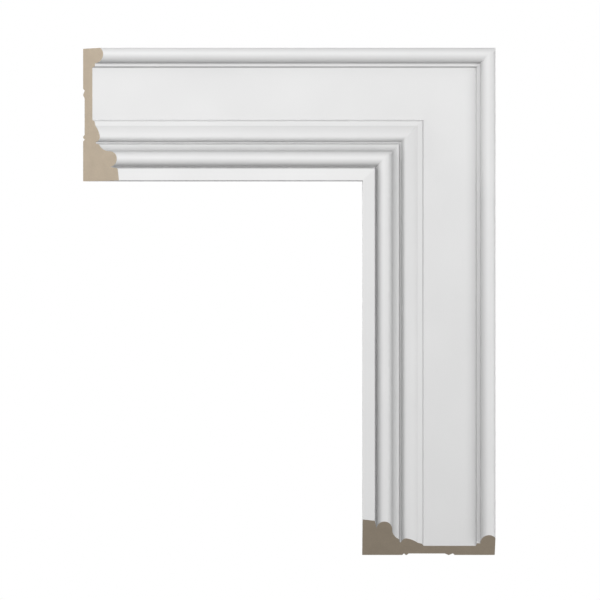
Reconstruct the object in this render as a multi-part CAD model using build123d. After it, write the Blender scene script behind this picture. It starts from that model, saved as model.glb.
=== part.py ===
"""The top right corner of a door architrave: a head and a leg of one moulded section, mitred.

The row frame stands in the doorway. X runs to the right, Y goes into the wall and Z points up.
The wall is the plane Y = 0, and the mouldings stand out of it towards -Y.
The origin is the sight corner: where the two inner edges meet, on the wall.
"""

from build123d import *
import math
import os

# The two lengths, measured on the back along the outer edge, and how their free ends are cut.
head_length = 357.0
leg_length = 439.0
end_cut_angle = 45.0

# The board: its width over the face and its thickness at the sight edge, where it is deepest.
face_width = 115.0
sight_thickness = 32.35

# The fascia beside the sight edge slopes down to a sunk line, the sight quirk.
fascia_width = 10.5
fascia_fall = 1.2
fascia_corner_radius = 1.2
sight_arris_radius = 0.5
sight_quirk_width = 1.4
sight_quirk_floor = 0.4

# The large bead stands just under the fascia, and a cove falls away from its other side.
large_bead_radius = 6.8
large_bead_set_down = 1.95
sight_quirk_depth = 5.4
cove_width = 6.0

# A short riser drops from the cove into the second quirk.
riser_width = 1.0
riser_height = 3.0
nose_quirk_width = 1.05
nose_quirk_floor_height = 11.6

# The nose rolls out of that quirk and runs down to a low fillet beside the plain field.
nose_radius = 4.5
nose_crest_height = 15.15
nose_lead_angle = 11.0
nose_run = 9.8
fillet_run = 3.85
fillet_fall = 0.95
field_step_width = 1.4
field_step_height = 1.85

# The plain field takes up the width that the mouldings leave.
field_thickness = 8.4

# A fillet and a small bead finish the outer edge, which trims the bead's far side.
outer_step_width = 1.15
outer_step_height = 2.3
outer_fillet_width = 2.7
small_bead_radius = 7.4
small_bead_trim = 1.75

# The back: a flat land along each edge, a V groove inside each land and a shallow relief between.
back_land = 34.75
groove_depth = 1.45
sight_groove_widths = (1.5, 1.4)
outer_groove_widths = (1.6, 3.4)
sight_rib = 1.1
outer_rib = 0.45
sight_ramp = 1.55
outer_ramp = 3.1
relief_depth = 1.35


def front_edges():
    """The moulded face, from the sight edge out to the outer edge, as (across, out of the wall)."""
    fascia_foot = (fascia_width, sight_thickness - fascia_fall)

    bead_across = fascia_width + sight_quirk_width + large_bead_radius
    bead_top = sight_thickness - large_bead_set_down
    bead_height = bead_top - large_bead_radius
    quirk_floor = bead_top - sight_quirk_depth
    half_chord = math.sqrt(large_bead_radius**2 - (quirk_floor - bead_height) ** 2)
    bead_start = (bead_across - half_chord, quirk_floor)
    quirk_foot = (bead_start[0] - sight_quirk_floor, quirk_floor)
    bead_end = (bead_across + large_bead_radius, bead_height)

    cove_foot = (bead_end[0] + cove_width, nose_quirk_floor_height + riser_height)
    riser_foot = (cove_foot[0] + riser_width, nose_quirk_floor_height)

    nose_across = riser_foot[0] + nose_quirk_width + nose_radius
    nose_height = nose_crest_height - nose_radius
    nose_drop = nose_quirk_floor_height - nose_height
    nose_start = (nose_across - math.sqrt(nose_radius**2 - nose_drop**2), nose_quirk_floor_height)
    lead = math.radians(nose_lead_angle)
    nose_end = (
        nose_across + nose_radius * math.sin(lead),
        nose_height + nose_radius * math.cos(lead),
    )

    step_top = (nose_across + nose_run + fillet_run, field_thickness + field_step_height)
    fillet_top = (nose_across + nose_run, step_top[1] + fillet_fall)
    field_start = (step_top[0] + field_step_width, field_thickness)

    small_bead_across = face_width - small_bead_radius + small_bead_trim
    small_bead_height = field_thickness + outer_step_height
    bead_foot = (small_bead_across - small_bead_radius, small_bead_height)
    outer_step = (bead_foot[0] - outer_fillet_width, small_bead_height)
    field_end = (outer_step[0] - outer_step_width, field_thickness)
    trim_rise = math.sqrt(small_bead_radius**2 - (face_width - small_bead_across) ** 2)
    outer_arris = (face_width, small_bead_height + trim_rise)

    return [
        Line((0, sight_thickness), fascia_foot),
        Line(fascia_foot, quirk_foot),
        Line(quirk_foot, bead_start),
        ThreePointArc(bead_start, (bead_across, bead_top), bead_end),
        TangentArc(bead_end, cove_foot, tangent=(0, -1)),
        Polyline(cove_foot, riser_foot, nose_start),
        ThreePointArc(nose_start, (nose_across, nose_crest_height), nose_end),
        TangentArc(nose_end, fillet_top, tangent=(math.cos(lead), -math.sin(lead))),
        Polyline(fillet_top, step_top, field_start, field_end, outer_step, bead_foot),
        TangentArc(bead_foot, outer_arris, tangent=(0, 1)),
        Line(outer_arris, (face_width, 0)),
    ]


def back_edges():
    """The back, from the outer edge in to the sight edge, and the sight edge itself."""
    sight_groove = back_land + sight_groove_widths[0]
    sight_rib_start = sight_groove + sight_groove_widths[1]
    sight_rib_end = sight_rib_start + sight_rib
    outer_groove = face_width - back_land - outer_groove_widths[0]
    outer_rib_start = outer_groove - outer_groove_widths[1]
    outer_rib_end = outer_rib_start - outer_rib
    return [
        Polyline(
            (face_width, 0),
            (face_width - back_land, 0),
            (outer_groove, groove_depth),
            (outer_rib_start, 0),
            (outer_rib_end, 0),
            (outer_rib_end - outer_ramp, relief_depth),
            (sight_rib_end + sight_ramp, relief_depth),
            (sight_rib_end, 0),
            (sight_rib_start, 0),
            (sight_groove, groove_depth),
            (back_land, 0),
            (0, 0),
            (0, sight_thickness),
        )
    ]


def moulding_section():
    """The whole section, with the fascia's two corners rounded."""
    section = make_face(front_edges() + back_edges())
    for corner, radius in (
        ((0, sight_thickness), sight_arris_radius),
        ((fascia_width, sight_thickness - fascia_fall), fascia_corner_radius),
    ):
        nearest = section.vertices().sort_by_distance(corner)[0]
        section = fillet(nearest, radius)
    return section


# The mitre halves the right angle between the two lengths.
mitre_plane = Plane(origin=(0, 0, 0), z_dir=(1, 0, -1))


def moulding(length):
    """One length along X, its sight edge on Z = 0, mitred at the right and bevelled at the left."""
    free_end = face_width - length
    end_lean = math.tan(math.radians(end_cut_angle))
    section_plane = Plane(origin=(free_end, 0, 0), x_dir=(0, 0, 1), z_dir=(1, 0, 0))
    end_plane = Plane(origin=(free_end, 0, 0), z_dir=(-1, -end_lean, 0))
    bar = extrude(section_plane * moulding_section(), amount=length)
    bar = split(bar, bisect_by=mitre_plane, keep=Keep.BOTTOM)
    return split(bar, bisect_by=end_plane, keep=Keep.BOTTOM)


pieces = {
    "architrave_head": moulding(head_length),
    "architrave_leg": mirror(moulding(leg_length), about=mitre_plane),
}

os.makedirs("parts", exist_ok=True)
for name, solid in pieces.items():
    export_step(solid, f"parts/{name}.step")
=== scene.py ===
"""A mitred corner of painted architrave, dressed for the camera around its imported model.

Everything is in metres in the row's frame: X runs right along the head, Y goes into the wall, Z points up.
The sight corner, where the two inner edges meet on the wall, is the origin. The section is written as
(across, out): across the face from the sight edge, and out from the wall.
"""

import math

import bmesh
import bpy
from bpy.props import FloatProperty, FloatVectorProperty, PointerProperty
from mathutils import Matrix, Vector


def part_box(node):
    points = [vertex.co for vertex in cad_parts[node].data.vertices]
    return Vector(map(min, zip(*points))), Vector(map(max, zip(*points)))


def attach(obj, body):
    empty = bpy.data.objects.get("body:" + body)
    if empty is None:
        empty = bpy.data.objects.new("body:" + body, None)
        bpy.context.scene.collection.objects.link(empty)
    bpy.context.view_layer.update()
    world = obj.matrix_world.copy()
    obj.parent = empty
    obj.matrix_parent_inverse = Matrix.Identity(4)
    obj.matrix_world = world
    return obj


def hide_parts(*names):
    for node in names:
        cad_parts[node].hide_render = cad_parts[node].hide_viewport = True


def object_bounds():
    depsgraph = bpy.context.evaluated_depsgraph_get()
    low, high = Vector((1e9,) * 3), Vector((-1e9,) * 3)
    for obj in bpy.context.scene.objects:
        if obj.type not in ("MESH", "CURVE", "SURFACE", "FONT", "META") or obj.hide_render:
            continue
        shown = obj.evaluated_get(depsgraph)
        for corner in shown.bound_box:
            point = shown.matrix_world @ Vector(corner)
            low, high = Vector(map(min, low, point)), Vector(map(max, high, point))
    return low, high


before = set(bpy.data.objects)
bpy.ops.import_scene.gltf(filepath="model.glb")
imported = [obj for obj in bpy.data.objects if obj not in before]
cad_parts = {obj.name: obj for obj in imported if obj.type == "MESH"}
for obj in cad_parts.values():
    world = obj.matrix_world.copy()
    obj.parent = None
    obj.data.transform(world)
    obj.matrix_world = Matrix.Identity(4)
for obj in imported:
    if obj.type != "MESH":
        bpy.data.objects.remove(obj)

bl_info = {
    "name": "Architrave Corner",
    "version": (1, 0, 0),
    "blender": (4, 5, 0),
    "location": "3D View > Sidebar > Architrave",
    "description": "Runs two mitred lengths of moulded architrave, paints them and lights them",
    "category": "Add Mesh",
}

MM = 0.001
BODY = "root"

# Digits that the panel shows of a length in metres, down to a hundredth of a millimetre.
LENGTH_DIGITS = 5

# The strips of the section and the faces that close its ends take one of these finishes, in this order.
PAINT, SAWN, BACK = range(3)

# Widths milled into the back from each land inwards: both sides of the groove, the rib and the ramp.
OUTER_MILLING = (1.6 * MM, 3.4 * MM, 0.45 * MM, 3.1 * MM)
SIGHT_MILLING = (1.5 * MM, 1.4 * MM, 1.1 * MM, 1.55 * MM)

# Steps in which the section's round stretches are drawn.
LARGE_BEAD_STEPS = 44
COVE_STEPS = 18
NOSE_STEPS = 26
NOSE_BACK_STEPS = 10
SMALL_BEAD_STEPS = 40

# Places in the painted outline of the two corners that have a rounding of their own.
SIGHT_ARRIS = 1
FASCIA_CORNER = 2

# Corners that turn by more than this are sharp ones, and get a small curve of so many steps. The curve
# takes up no more than this share of the strip on either side.
SHARP_TURN = math.radians(10)
CORNER_STEPS = 4
CORNER_SHARE = 0.45

# The coat: slight clouding, which leaves this share of the brightness and changes the roughness by so much,
# and an orange peel, whose ripples are this wide and high.
CLOUD_SIZE = 55 * MM
CLOUD_SHADE = 0.985
CLOUD_ROUGHNESS = 0.03
PEEL_SIZE = 1.3 * MM
PEEL_HEIGHT = 0.02 * MM

# The painted shade in the hollows is at its darkest where a point's openness is this or less.
SHADE_DARKEST_AT = 0.5

# The sawn board: tufts of felted fibre, dark flecks and faint patches. Real flecks are about half as
# coarse, which would be too fine to show. The shades are shares of the board's own brightness.
FELT_SIZE = 1.1 * MM
FELT_HEIGHT = 0.08 * MM
FELT_SHADE = 1.12
FLECK_SIZE = 0.5 * MM
FLECK_SHADE = 0.8
FLECK_STRENGTH = 0.9
PATCH_SIZE = 9 * MM
PATCH_STRENGTH = 0.25

# The sanded back: fibres and clouds, which the sander has drawn out to twice their width along the length.
FIBRE_SIZE = 0.9 * MM
FIBRE_HEIGHT = 0.03 * MM
FIBRE_STRENGTH = 0.7
BACK_CLOUD_SIZE = 30 * MM
BACK_CLOUD_STRENGTH = 0.35
BACK_SHADE = 0.78
DRAWN_OUT = (0.5, 1.0, 1.0)

# Traces on the back: the glue's hairline on each side of the mitre, and the enamel's mist in drops. Both
# are this strong where they start, and fade from there.
GLUE_WIDTH = 0.5 * MM
MIST_REACH = 5 * MM
DROP_SIZE = 0.6 * MM
TRACE_STRENGTH = 0.75

# A noise's values lie mostly in the first span, which is spread over a whole range. Flecks are its high
# ones.
NOISE_SPAN = {"From Min": 0.3, "From Max": 0.7}
FLECK_SPAN = {"From Min": 0.58, "From Max": 0.72}

# Places of a colour mix's sockets, whose names repeat: the share, the two colours and the result.
SHARE, FIRST, SECOND, MIXED = 0, 6, 7, 2

# The vertex attributes: where a point lies on its own length (along it, across its face and out of the
# wall), and how much of the half circle over it is open, from 0 to 1, which sets the painted shade.
RUN_SPACE = "run_space"
OPENNESS = "section_openness"

# Flats are cut into strips no wider than this, so that openness and painted shade can change across them.
STRIP_WIDTH = 1.0 * MM

# How far larger faces rule the shading along the edges that they share with smaller ones, here wholly.
FLATS_WEIGHT = 100

# The photograph's side, and where the sight corner and the outer edge lie in it, on the wall plane.
PHOTO_SIDE_PX = 600
SIGHT_CORNER_PX = (362.16, 181.39)
OUTER_EDGE_PX = 494.76

# The camera's sensor, in the millimetres that a camera counts in, and how far it sees, in metres.
SENSOR_WIDTH = 36.0
FARTHEST_SEEN = 100

# The floor is a disc with so many sides. It starts to run out to white at this share of its radius.
FLOOR_SIDES = 96
FADE_FROM = 0.25

# What is seen past the object and the floor.
WHITE = (1.0, 1.0, 1.0)

# Softboxes: name, azimuth and elevation in degrees, distance and side in metres, power in watts. The back
# ones light what the front view doesn't show.
LAMPS = (
    ("key", -30.0, 25.0, 1.3, 0.5, 6.0),
    ("key_top", 0.0, 25.0, 1.3, 0.5, 5.3),
    ("fill_front", 0.0, 0.0, 2.6, 0.9, 12.7),
    ("side_left", -80.0, 25.0, 1.3, 0.5, 5.0),
    ("side_right", 55.0, -5.0, 1.3, 0.5, 6.6),
    ("back_left", -145.0, 20.0, 2.6, 1.2, 42.0),
    ("back_right", 150.0, 10.0, 2.6, 1.2, 42.0),
)

cad_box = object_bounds()
head_low, head_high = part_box("architrave_head")
leg_low, leg_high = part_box("architrave_leg")


def length_prop(name, description, default):
    """A length in metres, shown in the panel in the scene's own unit."""
    return FloatProperty(
        name=name, description=description, default=default, min=0.0, unit="LENGTH", precision=LENGTH_DIGITS
    )


def angle_prop(name, description, degrees):
    """An angle, given here in degrees."""
    return FloatProperty(name=name, description=description, default=math.radians(degrees), unit="ROTATION")


def share_prop(name, description, default):
    """A share, without a unit."""
    return FloatProperty(name=name, description=description, default=default, min=0.0, subtype="FACTOR")


def linear(code):
    """An sRGB hex colour, by that standard's curve, as the linear values that Blender works in."""
    shares = [int(code[i : i + 2], 16) / 255 for i in (1, 3, 5)]
    return tuple(c / 12.92 if c <= 0.04045 else ((c + 0.055) / 1.055) ** 2.4 for c in shares)


def colour_prop(name, description, code):
    """A colour, given here as an sRGB hex value."""
    return FloatVectorProperty(
        name=name, description=description, default=linear(code), min=0.0, max=1.0, size=3, subtype="COLOR"
    )


class ArchitraveSection(bpy.types.PropertyGroup):
    """Sizes of the moulded section and of the two lengths cut from it."""

    face_width: length_prop("Face width", "Width over the face", head_high.z)
    head_length: length_prop("Head length", "Length across the top, on the back", head_high.x - head_low.x)
    leg_length: length_prop("Leg length", "Length down the side, on the back", leg_high.z - leg_low.z)
    end_cut: angle_prop("End cut", "Lean of the saw cut at the free ends", 45.0)

    sight_thickness: length_prop("Sight thickness", "Thickness at the sight edge", 32.35 * MM)
    fascia_width: length_prop("Fascia width", "Sloped flat beside the sight edge", 10.5 * MM)
    fascia_fall: length_prop("Fascia fall", "How far the fascia slopes down", 1.2 * MM)
    fascia_round: length_prop("Fascia round", "Rounded corner over the sight quirk", 1.2 * MM)
    arris_round: length_prop("Arris round", "Rounded arris of the sight edge", 0.15 * MM)
    sight_quirk_width: length_prop("Sight quirk width", "Sunk line beside the fascia", 1.4 * MM)
    sight_quirk_floor: length_prop("Sight quirk floor", "Flat at the bottom of that line", 0.4 * MM)
    sight_quirk_depth: length_prop("Sight quirk depth", "From the large bead's top down", 5.4 * MM)
    large_bead_radius: length_prop("Large bead radius", "Bead beside the sight quirk", 6.8 * MM)
    large_bead_drop: length_prop("Large bead drop", "Bead's top under the sight edge", 1.95 * MM)
    cove_width: length_prop("Cove width", "Hollow beside the large bead", 6.0 * MM)
    riser_width: length_prop("Riser width", "Lean of the riser under the cove", 1.0 * MM)
    riser_height: length_prop("Riser height", "Riser between cove and quirk", 3.0 * MM)
    nose_quirk_width: length_prop("Nose quirk width", "Quirk under the riser", 1.05 * MM)
    nose_quirk_height: length_prop("Nose quirk height", "That quirk's floor over the wall", 11.6 * MM)
    nose_radius: length_prop("Nose radius", "Rolled nose of the inner moulding", 4.5 * MM)
    nose_crest: length_prop("Nose crest", "The nose's top over the wall", 15.15 * MM)
    nose_lead: angle_prop("Nose lead", "Slope where the nose runs into its long back", 11.0)
    nose_run: length_prop("Nose run", "From the crest to the low fillet", 9.8 * MM)
    fillet_run: length_prop("Fillet run", "Width of the low fillet", 3.85 * MM)
    fillet_fall: length_prop("Fillet fall", "Slope of the low fillet", 0.95 * MM)
    field_step_width: length_prop("Field step width", "Lean of the step down to the field", 1.4 * MM)
    field_step_height: length_prop("Field step height", "Step down to the field", 1.85 * MM)
    field_thickness: length_prop("Field thickness", "Board under the plain field", 8.4 * MM)
    outer_step_width: length_prop("Outer step width", "Lean of the step up to the fillet", 1.15 * MM)
    outer_step_height: length_prop("Outer step height", "Step up to the outer fillet", 2.3 * MM)
    outer_fillet: length_prop("Outer fillet", "Flat beside the small bead", 2.7 * MM)
    small_bead_radius: length_prop("Small bead radius", "Bead along the outer edge", 7.4 * MM)
    small_bead_trim: length_prop("Small bead trim", "What the outer edge takes off that bead", 1.75 * MM)

    back_land: length_prop("Back land", "Flat land along each edge of the back", 34.75 * MM)
    groove_depth: length_prop("Groove depth", "V grooves in the back", 1.45 * MM)
    relief_depth: length_prop("Relief depth", "Shallow relief between the grooves", 1.35 * MM)
    paint_soften: length_prop("Paint softening", "Radius that the coat gives to sharp corners", 0.3 * MM)


def arc(centre, radius, start, end, steps):
    """Points along a circle from one angle to another, in degrees, both ends in."""
    points = []
    for step in range(steps + 1):
        angle = math.radians(start + (end - start) * step / steps)
        points.append((centre[0] + radius * math.cos(angle), centre[1] + radius * math.sin(angle)))
    return points


def arc_between(start, end, leaving, steps):
    """The arc that leaves start in a given direction and arrives at end."""
    start, end, leaving = Vector(start), Vector(end), Vector(leaving).normalized()
    side = Vector((-leaving.y, leaving.x))
    chord = end - start
    radius = chord.length_squared / (2 * chord.dot(side))
    centre = start + side * radius
    first = math.degrees(math.atan2(start.y - centre.y, start.x - centre.x))
    last = math.degrees(math.atan2(end.y - centre.y, end.x - centre.x))
    turn = (last - first + 180) % 360 - 180
    return arc(centre, abs(radius), first, first + turn, steps)


def painted_outline(section):
    """The moulded face and both edges, from the sight edge's foot round to the outer edge's."""
    fascia_foot = (section.fascia_width, section.sight_thickness - section.fascia_fall)

    bead_across = section.fascia_width + section.sight_quirk_width + section.large_bead_radius
    bead_top = section.sight_thickness - section.large_bead_drop
    bead_out = bead_top - section.large_bead_radius
    quirk_floor = bead_top - section.sight_quirk_depth
    bead_from = 180 - math.degrees(math.asin((quirk_floor - bead_out) / section.large_bead_radius))
    bead = arc((bead_across, bead_out), section.large_bead_radius, bead_from, 0, LARGE_BEAD_STEPS)
    cove_foot = (bead[-1][0] + section.cove_width, section.nose_quirk_height + section.riser_height)
    cove = arc_between(bead[-1], cove_foot, (0, -1), COVE_STEPS)

    riser_foot = (cove_foot[0] + section.riser_width, section.nose_quirk_height)
    nose_across = riser_foot[0] + section.nose_quirk_width + section.nose_radius
    nose_out = section.nose_crest - section.nose_radius
    nose_from = 180 - math.degrees(math.asin((section.nose_quirk_height - nose_out) / section.nose_radius))
    nose_to = 90 - math.degrees(section.nose_lead)
    nose = arc((nose_across, nose_out), section.nose_radius, nose_from, nose_to, NOSE_STEPS)
    step_out = section.field_thickness + section.field_step_height
    step_top = (nose_across + section.nose_run + section.fillet_run, step_out)
    fillet_top = (nose_across + section.nose_run, step_out + section.fillet_fall)
    lead = (math.cos(section.nose_lead), -math.sin(section.nose_lead))
    nose_back = arc_between(nose[-1], fillet_top, lead, NOSE_BACK_STEPS)

    small_across = section.face_width - section.small_bead_radius + section.small_bead_trim
    small_out = section.field_thickness + section.outer_step_height
    small_to = math.degrees(math.acos((section.face_width - small_across) / section.small_bead_radius))
    small_bead = arc((small_across, small_out), section.small_bead_radius, 180, small_to, SMALL_BEAD_STEPS)
    outer_step = (small_bead[0][0] - section.outer_fillet, small_out)

    return [
        (0.0, 0.0),
        (0.0, section.sight_thickness),
        fascia_foot,
        (bead[0][0] - section.sight_quirk_floor, quirk_floor),
        *bead,
        *cove[1:],
        riser_foot,
        *nose,
        *nose_back[1:],
        step_top,
        (step_top[0] + section.field_step_width, section.field_thickness),
        (outer_step[0] - section.outer_step_width, section.field_thickness),
        outer_step,
        *small_bead,
        (section.face_width, 0.0),
    ]


def milled_side(land_edge, inwards, widths, section):
    """One side of the back's milling, from a land's edge inwards: groove, rib and ramp into the relief."""
    depths = (0.0, section.groove_depth, 0.0, 0.0, section.relief_depth)
    points = [(land_edge, depths[0])]
    for width, depth in zip(widths, depths[1:]):
        points.append((points[-1][0] + inwards * width, depth))
    return points


def bare_outline(section):
    """The back, from the outer land in to the sight land."""
    outer = milled_side(section.face_width - section.back_land, -1, OUTER_MILLING, section)
    sight = milled_side(section.back_land, 1, SIGHT_MILLING, section)
    return outer + sight[::-1]


def softened(points, radii):
    """The closed outline with each sharp corner turned through a small curve, and each point's source."""
    made = []
    for i, here in enumerate(points):
        tip = Vector(here)
        to_before = Vector(points[i - 1]) - tip
        to_after = Vector(points[(i + 1) % len(points)]) - tip
        turn = math.pi - to_before.angle(to_after)
        if turn < SHARP_TURN:
            made.append((tip, i))
            continue
        reach = radii[i] * math.tan(turn / 2)
        reach = min(reach, CORNER_SHARE * to_before.length, CORNER_SHARE * to_after.length)
        first = tip + to_before.normalized() * reach
        last = tip + to_after.normalized() * reach
        for step in range(CORNER_STEPS + 1):
            t = step / CORNER_STEPS
            made.append(((1 - t) ** 2 * first + 2 * t * (1 - t) * tip + t**2 * last, i))
    return made


def section_ring(section):
    """The whole section as points, and for each the finish of the strip that follows it."""
    painted = painted_outline(section)
    points = painted + bare_outline(section)
    radii = [section.paint_soften] * len(points)
    radii[SIGHT_ARRIS] = section.arris_round
    radii[FASCIA_CORNER] = section.fascia_round
    ring = softened(points, radii)
    last_painted = len(painted) - 1
    strips = []
    for n, (_, source) in enumerate(ring):
        closes_corner = ring[(n + 1) % len(ring)][1] != source
        bare = source > last_painted or (source == last_painted and closes_corner)
        strips.append(BACK if bare else PAINT)
    return divided([point for point, _ in ring], strips)


def divided(ring, finishes):
    """The ring with its wide flats cut into narrow strips of the same finish."""
    points, strips = [], []
    for i, here in enumerate(ring):
        onward = ring[(i + 1) % len(ring)] - here
        count = math.ceil(onward.length / STRIP_WIDTH)
        for n in range(count):
            points.append(here + onward * n / count)
            strips.append(finishes[i])
    return points, strips


# Openness of each point, which sets how much painted shade the enamel gets there.
def section_openness(ring):
    """For each point of the ring, how much of the half circle over it the rest of the section leaves open.

    The horizon on each side is kept as the sine of its height over the surface.
    """
    reach = []
    for i, here in enumerate(ring):
        along = (ring[(i + 1) % len(ring)] - ring[i - 1]).normalized()
        outwards = Vector((-along.y, along.x))
        horizon = [0.0, 0.0]
        for other in ring:
            way = other - here
            if way.dot(outwards) > 0:
                side = way.dot(along) > 0
                horizon[side] = max(horizon[side], way.dot(outwards) / way.length)
        reach.append(sum(math.sqrt(max(0.0, 1 - sine**2)) for sine in horizon) / 2)
    return reach


def run_length(name, section, overall, place):
    """One length as a closed mesh: the section run from its bevelled free end to its mitre."""
    ring, strips = section_ring(section)
    lean = math.tan(section.end_cut)
    free_end = section.face_width - overall
    mesh = bpy.data.meshes.new(name)
    form = bmesh.new()
    run_space = form.verts.layers.float_vector.new(RUN_SPACE)
    # Each point's openness, for the painted shade in the enamel's hollows.
    openness_layer = form.verts.layers.float.new(OPENNESS)
    reach = section_openness(ring)

    def corner(along, point, open_share):
        vert = form.verts.new(place(along, point.x, point.y))
        vert[run_space] = (along, point.x, point.y)
        vert[openness_layer] = open_share
        return vert

    free = [corner(free_end + point.y * lean, point, share) for point, share in zip(ring, reach)]
    mitre = [corner(point.x, point, share) for point, share in zip(ring, reach)]
    for i, finish in enumerate(strips):
        n = (i + 1) % len(ring)
        strip = form.faces.new((free[i], free[n], mitre[n], mitre[i]))
        strip.material_index = finish
        strip.smooth = True
    for end in (free, mitre):
        form.faces.new(end).material_index = SAWN
    bmesh.ops.recalc_face_normals(form, faces=form.faces)
    form.to_mesh(mesh)
    form.free()

    piece = bpy.data.objects.new(name, mesh)
    bpy.context.scene.collection.objects.link(piece)
    level = piece.modifiers.new("flats_stay_flat", "WEIGHTED_NORMAL")
    level.mode = "FACE_AREA"
    level.weight = FLATS_WEIGHT
    level.keep_sharp = True
    return piece


def dress(piece, node_name):
    """Gives a length its finishes, in the order that its strips count them, and the place of its solid."""
    finish = bpy.context.scene.architrave_finish
    for name, make in FINISHES.items():
        piece.data.materials.append(bpy.data.materials.get(name) or make(name, finish))
    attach(piece, BODY)
    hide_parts(node_name)


def node(tree, kind, inputs, output=0, **settings):
    """Adds a shader node with its settings and links, and gives the output asked for, if it has any."""
    made = tree.nodes.new("ShaderNode" + kind)
    for key, value in settings.items():
        setattr(made, key, value)
    for place, value in inputs.items():
        socket = made.inputs[place]
        if isinstance(value, bpy.types.NodeSocket):
            tree.links.new(value, socket)
        elif socket.type == "RGBA":
            socket.default_value = (*value, 1.0)
        else:
            socket.default_value = value
    return made.outputs[output] if made.outputs else None


def blank_material(name):
    """A named material with an empty node tree."""
    material = bpy.data.materials.new(name)
    material.use_nodes = True
    material.node_tree.nodes.clear()
    return material, material.node_tree


def shade(colour, share):
    """The same colour at a share of its brightness."""
    return tuple(min(c * share, 1.0) for c in colour)


def sprayed_enamel(name, finish):
    """Satin white, sprayed enamel: even and soft-sheened, with a faint orange peel.

    It is painted greyer in the quirks and at the feet of beads, the less open a point is: painted shade.
    """
    material, tree = blank_material(name)
    place = node(tree, "Attribute", {}, "Vector", attribute_name=RUN_SPACE)
    cloud = node(tree, "TexNoise", {"Vector": place, "Scale": 1 / CLOUD_SIZE, "Detail": 2.0}, "Fac")
    clouding = node(tree, "MapRange", {"Value": cloud, **NOISE_SPAN}, "Result")
    clouded = shade(finish.enamel, CLOUD_SHADE)
    coat = node(
        tree, "Mix", {SHARE: clouding, FIRST: finish.enamel, SECOND: clouded}, MIXED, data_type="RGBA"
    )
    # Painted shade: the less open a point is, the more the coat is mixed towards a grey, darkening the
    # hollows.
    reach = node(tree, "Attribute", {}, "Fac", attribute_name=OPENNESS)
    painted_shade_share = node(
        tree,
        "MapRange",
        {"Value": reach, "From Min": SHADE_DARKEST_AT, "To Min": finish.painted_shade_strength, "To Max": 0.0},
        "Result",
    )
    colour = node(
        tree, "Mix", {SHARE: painted_shade_share, FIRST: coat, SECOND: finish.painted_shade_grey}, MIXED, data_type="RGBA"
    )
    sheen = node(
        tree,
        "MapRange",
        {
            "Value": cloud,
            **NOISE_SPAN,
            "To Min": finish.enamel_roughness - CLOUD_ROUGHNESS,
            "To Max": finish.enamel_roughness + CLOUD_ROUGHNESS,
        },
        "Result",
    )
    peel = node(tree, "TexNoise", {"Vector": place, "Scale": 1 / PEEL_SIZE, "Detail": 1.0}, "Fac")
    surface = node(tree, "Bump", {"Strength": 0.4, "Distance": PEEL_HEIGHT, "Height": peel})
    shader = node(
        tree, "BsdfPrincipled", {"Base Color": colour, "Roughness": sheen, "IOR": 1.5, "Normal": surface}
    )
    node(tree, "OutputMaterial", {"Surface": shader})
    return material


def sawn_fibreboard(name, finish):
    """Medium density fibreboard across a fine saw cut: dry, brown, felted fibres with darker flecks."""
    material, tree = blank_material(name)
    place = node(tree, "Attribute", {}, "Vector", attribute_name=RUN_SPACE)
    felt = node(
        tree, "TexNoise", {"Vector": place, "Scale": 1 / FELT_SIZE, "Detail": 5.0, "Roughness": 0.65}, "Fac"
    )
    flecks = node(tree, "TexNoise", {"Vector": place, "Scale": 1 / FLECK_SIZE, "Detail": 1.0}, "Fac")
    patches = node(tree, "TexNoise", {"Vector": place, "Scale": 1 / PATCH_SIZE, "Detail": 2.0}, "Fac")
    dark = shade(finish.fibreboard, FLECK_SHADE)
    pale = shade(finish.fibreboard, FELT_SHADE)
    pale_share = node(tree, "MapRange", {"Value": felt, **NOISE_SPAN}, "Result")
    felted = node(
        tree, "Mix", {SHARE: pale_share, FIRST: finish.fibreboard, SECOND: pale}, MIXED, data_type="RGBA"
    )
    fleck_share = node(
        tree, "MapRange", {"Value": flecks, **FLECK_SPAN, "To Max": FLECK_STRENGTH}, "Result"
    )
    flecked = node(tree, "Mix", {SHARE: fleck_share, FIRST: felted, SECOND: dark}, MIXED, data_type="RGBA")
    patch_share = node(
        tree, "MapRange", {"Value": patches, **NOISE_SPAN, "To Max": PATCH_STRENGTH}, "Result"
    )
    colour = node(tree, "Mix", {SHARE: patch_share, FIRST: flecked, SECOND: dark}, MIXED, data_type="RGBA")
    surface = node(tree, "Bump", {"Strength": 0.6, "Distance": FELT_HEIGHT, "Height": felt})
    shader = node(
        tree,
        "BsdfPrincipled",
        {
            "Base Color": colour,
            "Roughness": 0.92,
            "IOR": 1.45,
            "Specular IOR Level": 0.2,
            "Normal": surface,
        },
    )
    node(tree, "OutputMaterial", {"Surface": shader})
    return material


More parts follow.
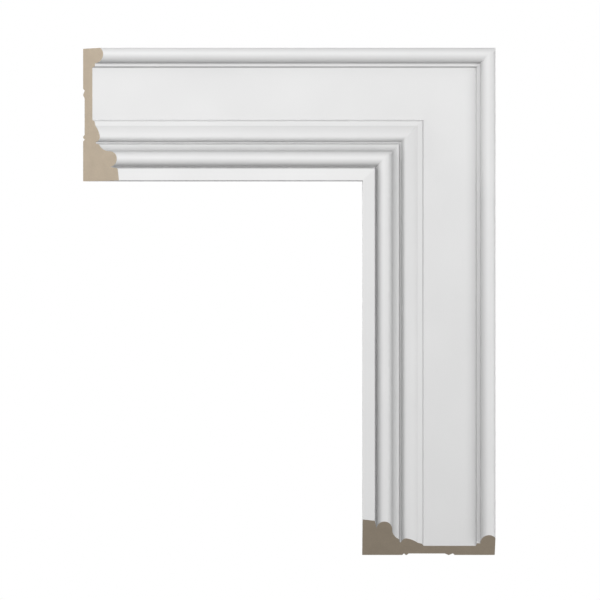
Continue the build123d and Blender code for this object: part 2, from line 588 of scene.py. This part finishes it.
def sanded_fibreboard(name, finish):
    """The board's pressed and sanded back: paler and closer than the core, in long soft clouds.

    A hairline of glue shows on the mitre, and a mist of the enamel has drifted in from both edges.
    """
    material, tree = blank_material(name)
    width = bpy.context.scene.architrave_section.face_width
    place = node(tree, "Attribute", {}, "Vector", attribute_name=RUN_SPACE)
    drawn_out = node(tree, "VectorMath", {0: place, 1: DRAWN_OUT}, operation="MULTIPLY")
    fibres = node(
        tree,
        "TexNoise",
        {"Vector": drawn_out, "Scale": 1 / FIBRE_SIZE, "Detail": 4.0, "Roughness": 0.6},
        "Fac",
    )
    clouds = node(
        tree, "TexNoise", {"Vector": drawn_out, "Scale": 1 / BACK_CLOUD_SIZE, "Detail": 2.0}, "Fac"
    )
    dark = shade(finish.fibreboard_back, BACK_SHADE)
    fibre_share = node(
        tree, "MapRange", {"Value": fibres, **NOISE_SPAN, "To Max": FIBRE_STRENGTH}, "Result"
    )
    fibred = node(
        tree,
        "Mix",
        {SHARE: fibre_share, FIRST: finish.fibreboard_back, SECOND: dark},
        MIXED,
        data_type="RGBA",
    )
    cloud_share = node(
        tree, "MapRange", {"Value": clouds, **NOISE_SPAN, "To Max": BACK_CLOUD_STRENGTH}, "Result"
    )
    board = node(tree, "Mix", {SHARE: cloud_share, FIRST: fibred, SECOND: dark}, MIXED, data_type="RGBA")

    along = node(tree, "SeparateXYZ", {0: place}, "X")
    across = node(tree, "SeparateXYZ", {0: place}, "Y")
    past_mitre = node(tree, "Math", {0: across, 1: along}, operation="SUBTRACT")
    off_mitre = node(tree, "Math", {0: past_mitre}, operation="ABSOLUTE")
    glue = node(
        tree,
        "MapRange",
        {"Value": off_mitre, "From Max": GLUE_WIDTH, "To Min": TRACE_STRENGTH, "To Max": 0.0},
        "Result",
    )
    glued = node(tree, "Mix", {SHARE: glue, FIRST: board, SECOND: finish.glue}, MIXED, data_type="RGBA")

    outer_way = node(tree, "Math", {0: width, 1: across}, operation="SUBTRACT")
    off_edge = node(tree, "Math", {0: across, 1: outer_way}, operation="MINIMUM")
    mist = node(
        tree,
        "MapRange",
        {"Value": off_edge, "From Max": MIST_REACH, "To Min": TRACE_STRENGTH, "To Max": 0.0},
        "Result",
    )
    drops = node(tree, "TexNoise", {"Vector": place, "Scale": 1 / DROP_SIZE, "Detail": 2.0}, "Fac")
    misted = node(tree, "Math", {0: mist, 1: drops}, operation="MULTIPLY")
    colour = node(
        tree, "Mix", {SHARE: misted, FIRST: glued, SECOND: finish.enamel}, MIXED, data_type="RGBA"
    )
    surface = node(tree, "Bump", {"Strength": 0.4, "Distance": FIBRE_HEIGHT, "Height": fibres})
    shader = node(
        tree, "BsdfPrincipled", {"Base Color": colour, "Roughness": 0.75, "IOR": 1.45, "Normal": surface}
    )
    node(tree, "OutputMaterial", {"Surface": shader})
    return material


# The finishes by name, in the order of PAINT, SAWN and BACK.
FINISHES = {
    "satin_white_enamel_sprayed": sprayed_enamel,
    "fibreboard_sawn": sawn_fibreboard,
    "fibreboard_sanded": sanded_fibreboard,
}


class ArchitraveFinish(bpy.types.PropertyGroup):
    """Colours and sheen of the coat and of the bare board."""

    enamel: colour_prop("Enamel", "The white coat on the face and edges", "#DADADA")
    enamel_roughness: share_prop("Enamel roughness", "Sheen of the coat", 0.5)
    # This grey and its strength below are painted shade, towards which the enamel turns in the hollows.
    painted_shade_grey: colour_prop("Primer", "Grey primer that shows where the coat is thin", "#8E8E8E")
    painted_shade_strength: share_prop("Thin coat", "How much of the primer shows in the deepest hollow", 0.47)
    fibreboard: colour_prop("Fibreboard", "Board across the saw cut", "#BAAC99")
    fibreboard_back: colour_prop("Fibreboard back", "Sanded back of the board", "#BDA98C")
    glue: colour_prop("Glue", "Hairline of dried glue on the back's mitre", "#6E5B41")


class ArchitraveStage(bpy.types.PropertyGroup):
    """The camera, the lamps and the floor."""

    camera_distance: length_prop("Camera distance", "From the wall plane", 4.0328)
    world_light: share_prop("World light", "Even light from all round, 0 with only the lamps", 0.0)
    floor_colour: colour_prop("Floor", "Pale studio floor, as it is seen", "#EFEFEE")
    floor_evenness: share_prop("Floor evenness", "Share of its colour that the lamps don't change", 0.75)
    floor_bounce: colour_prop("Floor bounce", "What it gives back to the object, kept low", "#5A5A5A")
    floor_drop: length_prop("Floor drop", "Floor under the foot of the leg", 0.6)
    floor_reach: length_prop("Floor reach", "Radius, which ends before the front view sees it", 4.5)


def soft_lamp(name, azimuth, elevation, distance, size, power):
    """A square softbox aimed at the object's middle; its azimuth runs rightwards from the camera's side."""
    low, high = cad_box
    middle = (low + high) / 2
    around, up = math.radians(azimuth), math.radians(elevation)
    towards = Vector((math.sin(around) * math.cos(up), -math.cos(around) * math.cos(up), math.sin(up)))
    light = bpy.data.lights.new(name, "AREA")
    light.shape = "SQUARE"
    light.size = size
    light.energy = power
    lamp = bpy.data.objects.new(name, light)
    lamp.location = middle + towards * distance
    lamp.rotation_euler = (-towards).to_track_quat("-Z", "Y").to_euler()
    bpy.context.scene.collection.objects.link(lamp)


def seen_share(tree):
    """1 for the rays of the camera, of gloss and through glass, and 0 for those that only carry light."""
    seen = node(tree, "LightPath", {}, "Is Camera Ray")
    for way in ("Is Glossy Ray", "Is Transmission Ray"):
        seen = node(tree, "Math", {0: seen, 1: node(tree, "LightPath", {}, way)}, operation="MAXIMUM")
    return seen


def set_world(stage):
    """Even light from all round, and white where the camera, gloss or glass looks past the object."""
    world = bpy.data.worlds.new("studio")
    world.use_nodes = True
    tree = world.node_tree
    tree.nodes.clear()
    light = node(tree, "Background", {"Color": WHITE, "Strength": stage.world_light})
    white = node(tree, "Background", {"Color": WHITE, "Strength": 1.0})
    both = node(tree, "MixShader", {0: seen_share(tree), 1: light, 2: white})
    node(tree, "OutputWorld", {"Surface": both})
    bpy.context.scene.world = world


def matt_floor(stage):
    """Matt paper, pale to the eye with the object's shadow on it, and running out to white at its rim.

    To rays that only carry light it is dull, so that it throws little up under the mouldings, and it isn't
    counted as a lamp.
    """
    material, tree = blank_material("studio_paper_matt")
    material.cycles.emission_sampling = "NONE"
    place = node(tree, "TexCoord", {}, "Object")
    away = node(tree, "VectorMath", {0: place}, "Value", operation="LENGTH")
    fade_from = stage.floor_reach * FADE_FROM
    fading = node(
        tree, "MapRange", {"Value": away, "From Min": fade_from, "From Max": stage.floor_reach}, "Result"
    )
    paper = node(
        tree, "Mix", {SHARE: fading, FIRST: stage.floor_colour, SECOND: WHITE}, MIXED, data_type="RGBA"
    )
    evenness = node(
        tree, "MapRange", {"Value": fading, "To Min": stage.floor_evenness, "To Max": 1.0}, "Result"
    )
    even = node(tree, "Emission", {"Color": paper, "Strength": 1.0})
    shaded = node(tree, "BsdfDiffuse", {"Color": stage.floor_colour})
    pale = node(tree, "MixShader", {0: evenness, 1: shaded, 2: even})
    dull = node(tree, "BsdfDiffuse", {"Color": stage.floor_bounce})
    both = node(tree, "MixShader", {0: seen_share(tree), 1: dull, 2: pale})
    node(tree, "OutputMaterial", {"Surface": both})
    return material


def lay_floor(stage):
    """A wide pale floor well under the piece, which hangs on its wall above it."""
    low, _ = cad_box
    form = bmesh.new()
    bmesh.ops.create_circle(form, cap_ends=True, radius=stage.floor_reach, segments=FLOOR_SIDES)
    mesh = bpy.data.meshes.new("floor")
    form.to_mesh(mesh)
    form.free()
    floor = bpy.data.objects.new("floor", mesh)
    floor.location.z = low.z - stage.floor_drop
    mesh.materials.append(matt_floor(stage))
    bpy.context.scene.collection.objects.link(floor)


def set_camera(section, stage):
    """Straight on from the front, with the sight corner and the outer edge placed as in the photograph."""
    pixel = section.face_width / (OUTER_EDGE_PX - SIGHT_CORNER_PX[0])
    view = bpy.data.cameras.new("camera")
    view.sensor_width = SENSOR_WIDTH
    view.lens = SENSOR_WIDTH * stage.camera_distance / (PHOTO_SIDE_PX * pixel)
    view.clip_end = FARTHEST_SEEN
    camera = bpy.data.objects.new("camera", view)
    middle = PHOTO_SIDE_PX / 2
    camera.location = (
        (middle - SIGHT_CORNER_PX[0]) * pixel,
        -stage.camera_distance,
        (SIGHT_CORNER_PX[1] - middle) * pixel,
    )
    camera.rotation_euler = (math.radians(90), 0, 0)
    bpy.context.scene.collection.objects.link(camera)
    bpy.context.scene.camera = camera


class MakeHead(bpy.types.Operator):
    """Runs the length across the top"""

    bl_idname = "architrave.make_head"
    bl_label = "Head"

    def execute(self, context):
        section = context.scene.architrave_section
        piece = run_length(
            "head", section, section.head_length, lambda along, across, out: (along, -out, across)
        )
        dress(piece, "architrave_head")
        return {"FINISHED"}


class MakeLeg(bpy.types.Operator):
    """Runs the length down the side"""

    bl_idname = "architrave.make_leg"
    bl_label = "Leg"

    def execute(self, context):
        section = context.scene.architrave_section
        piece = run_length(
            "leg", section, section.leg_length, lambda along, across, out: (across, -out, along)
        )
        dress(piece, "architrave_leg")
        return {"FINISHED"}


class SetStage(bpy.types.Operator):
    """Sets the floor, the light and the camera"""

    bl_idname = "architrave.set_stage"
    bl_label = "Stage"

    def execute(self, context):
        scene = context.scene
        stage = scene.architrave_stage
        set_world(stage)
        lay_floor(stage)
        for lamp in LAMPS:
            soft_lamp(*lamp)
        set_camera(scene.architrave_section, stage)
        scene.view_settings.view_transform = "Standard"
        return {"FINISHED"}


class ArchitravePanel(bpy.types.Panel):
    """Lists the steps and their settings"""

    bl_idname = "VIEW3D_PT_architrave"
    bl_label = "Architrave"
    bl_space_type = "VIEW_3D"
    bl_region_type = "UI"
    bl_category = "Architrave"

    def draw(self, context):
        for operator in OPERATORS:
            self.layout.operator(operator.bl_idname)
        for group in SETTINGS:
            box = self.layout.box()
            for name in SETTINGS[group].__annotations__:
                box.prop(getattr(context.scene, group), name)


OPERATORS = (MakeHead, MakeLeg, SetStage)
SETTINGS = {
    "architrave_section": ArchitraveSection,
    "architrave_finish": ArchitraveFinish,
    "architrave_stage": ArchitraveStage,
}


def register():
    """Registers the settings, the operators and the panel."""
    for kind in (*SETTINGS.values(), *OPERATORS, ArchitravePanel):
        bpy.utils.register_class(kind)
    for group, kind in SETTINGS.items():
        setattr(bpy.types.Scene, group, PointerProperty(type=kind))


def unregister():
    """Takes them out again."""
    for group in SETTINGS:
        delattr(bpy.types.Scene, group)
    for kind in (ArchitravePanel, *OPERATORS, *SETTINGS.values()):
        bpy.utils.unregister_class(kind)


def main():
    """Makes the lengths and the stage."""
    register()
    bpy.ops.architrave.make_head()
    bpy.ops.architrave.make_leg()
    bpy.ops.architrave.set_stage()


if __name__ == "__main__":
    main()
